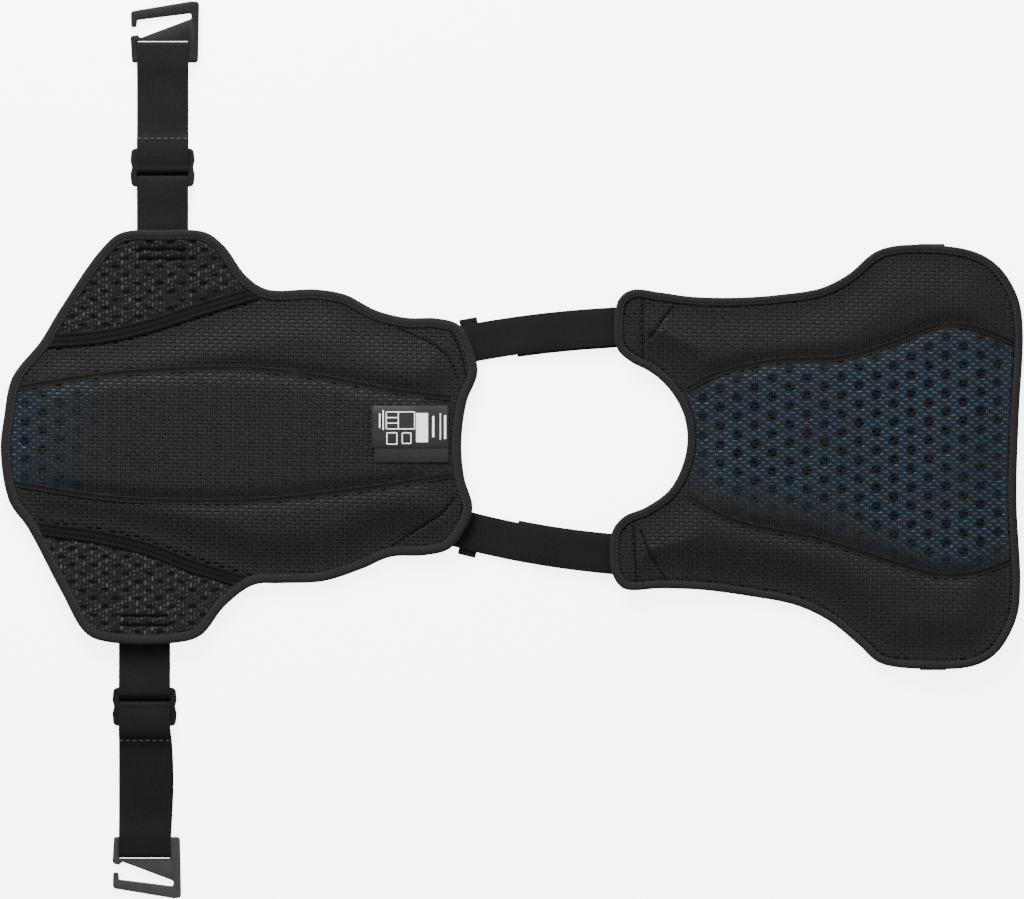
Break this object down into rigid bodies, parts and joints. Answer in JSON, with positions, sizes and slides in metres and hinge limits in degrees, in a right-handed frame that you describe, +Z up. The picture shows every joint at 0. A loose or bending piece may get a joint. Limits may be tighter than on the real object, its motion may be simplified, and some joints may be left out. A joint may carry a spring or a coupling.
{
  "type": "roost deflector",
  "caption": "Soft motocross chest and back protector laid open inner side up, with padded panels, shoulder elastics and side straps with sliders and open hooks.",
  "frame": {"origin": "on the floor below the middle of the bounding box", "axes": "+X from the back panel's hem to the chest panel's hem, +Y across towards the upper side strap, +Z up from the floor, towards the wearer's side"},
  "size_m": [0.7768, 0.6822, 0.0194],
  "materials": {
    "cover_fabric": "matte woven",
    "foam": "matte impact foam",
    "lining_mesh": "open knitted mesh",
    "spacer_mesh": "coarse spacer mesh",
    "binding_tape": "smooth stretch tape",
    "elastic": "woven elastic",
    "plastic": "satin moulded",
    "label_satin": "satin"
  },
  "bodies": {
    "root": {"back_cover": "cover_fabric", "back_foam": "foam", "back_lining": "lining_mesh", "back_binding": "binding_tape", "wing_upper": "spacer_mesh", "wing_tape_upper": "binding_tape", "wing_lower": "spacer_mesh", "wing_tape_lower": "binding_tape", "chest_cover": "cover_fabric", "chest_foam": "foam", "chest_lining": "lining_mesh", "chest_binding": "binding_tape", "side_strap_upper": "elastic", "slider_upper": "plastic", "hook_upper": "plastic", "side_strap_lower": "elastic", "slider_lower": "plastic", "hook_lower": "plastic", "shoulder_strap_upper": "elastic", "strap_keeper_upper": "elastic", "shoulder_strap_lower": "elastic", "strap_keeper_lower": "elastic", "chest_loop_upper": "elastic", "chest_loop_lower": "elastic", "neck_label_under": "label_satin", "neck_label_top": "label_satin"}
  },
  "joints": []
}
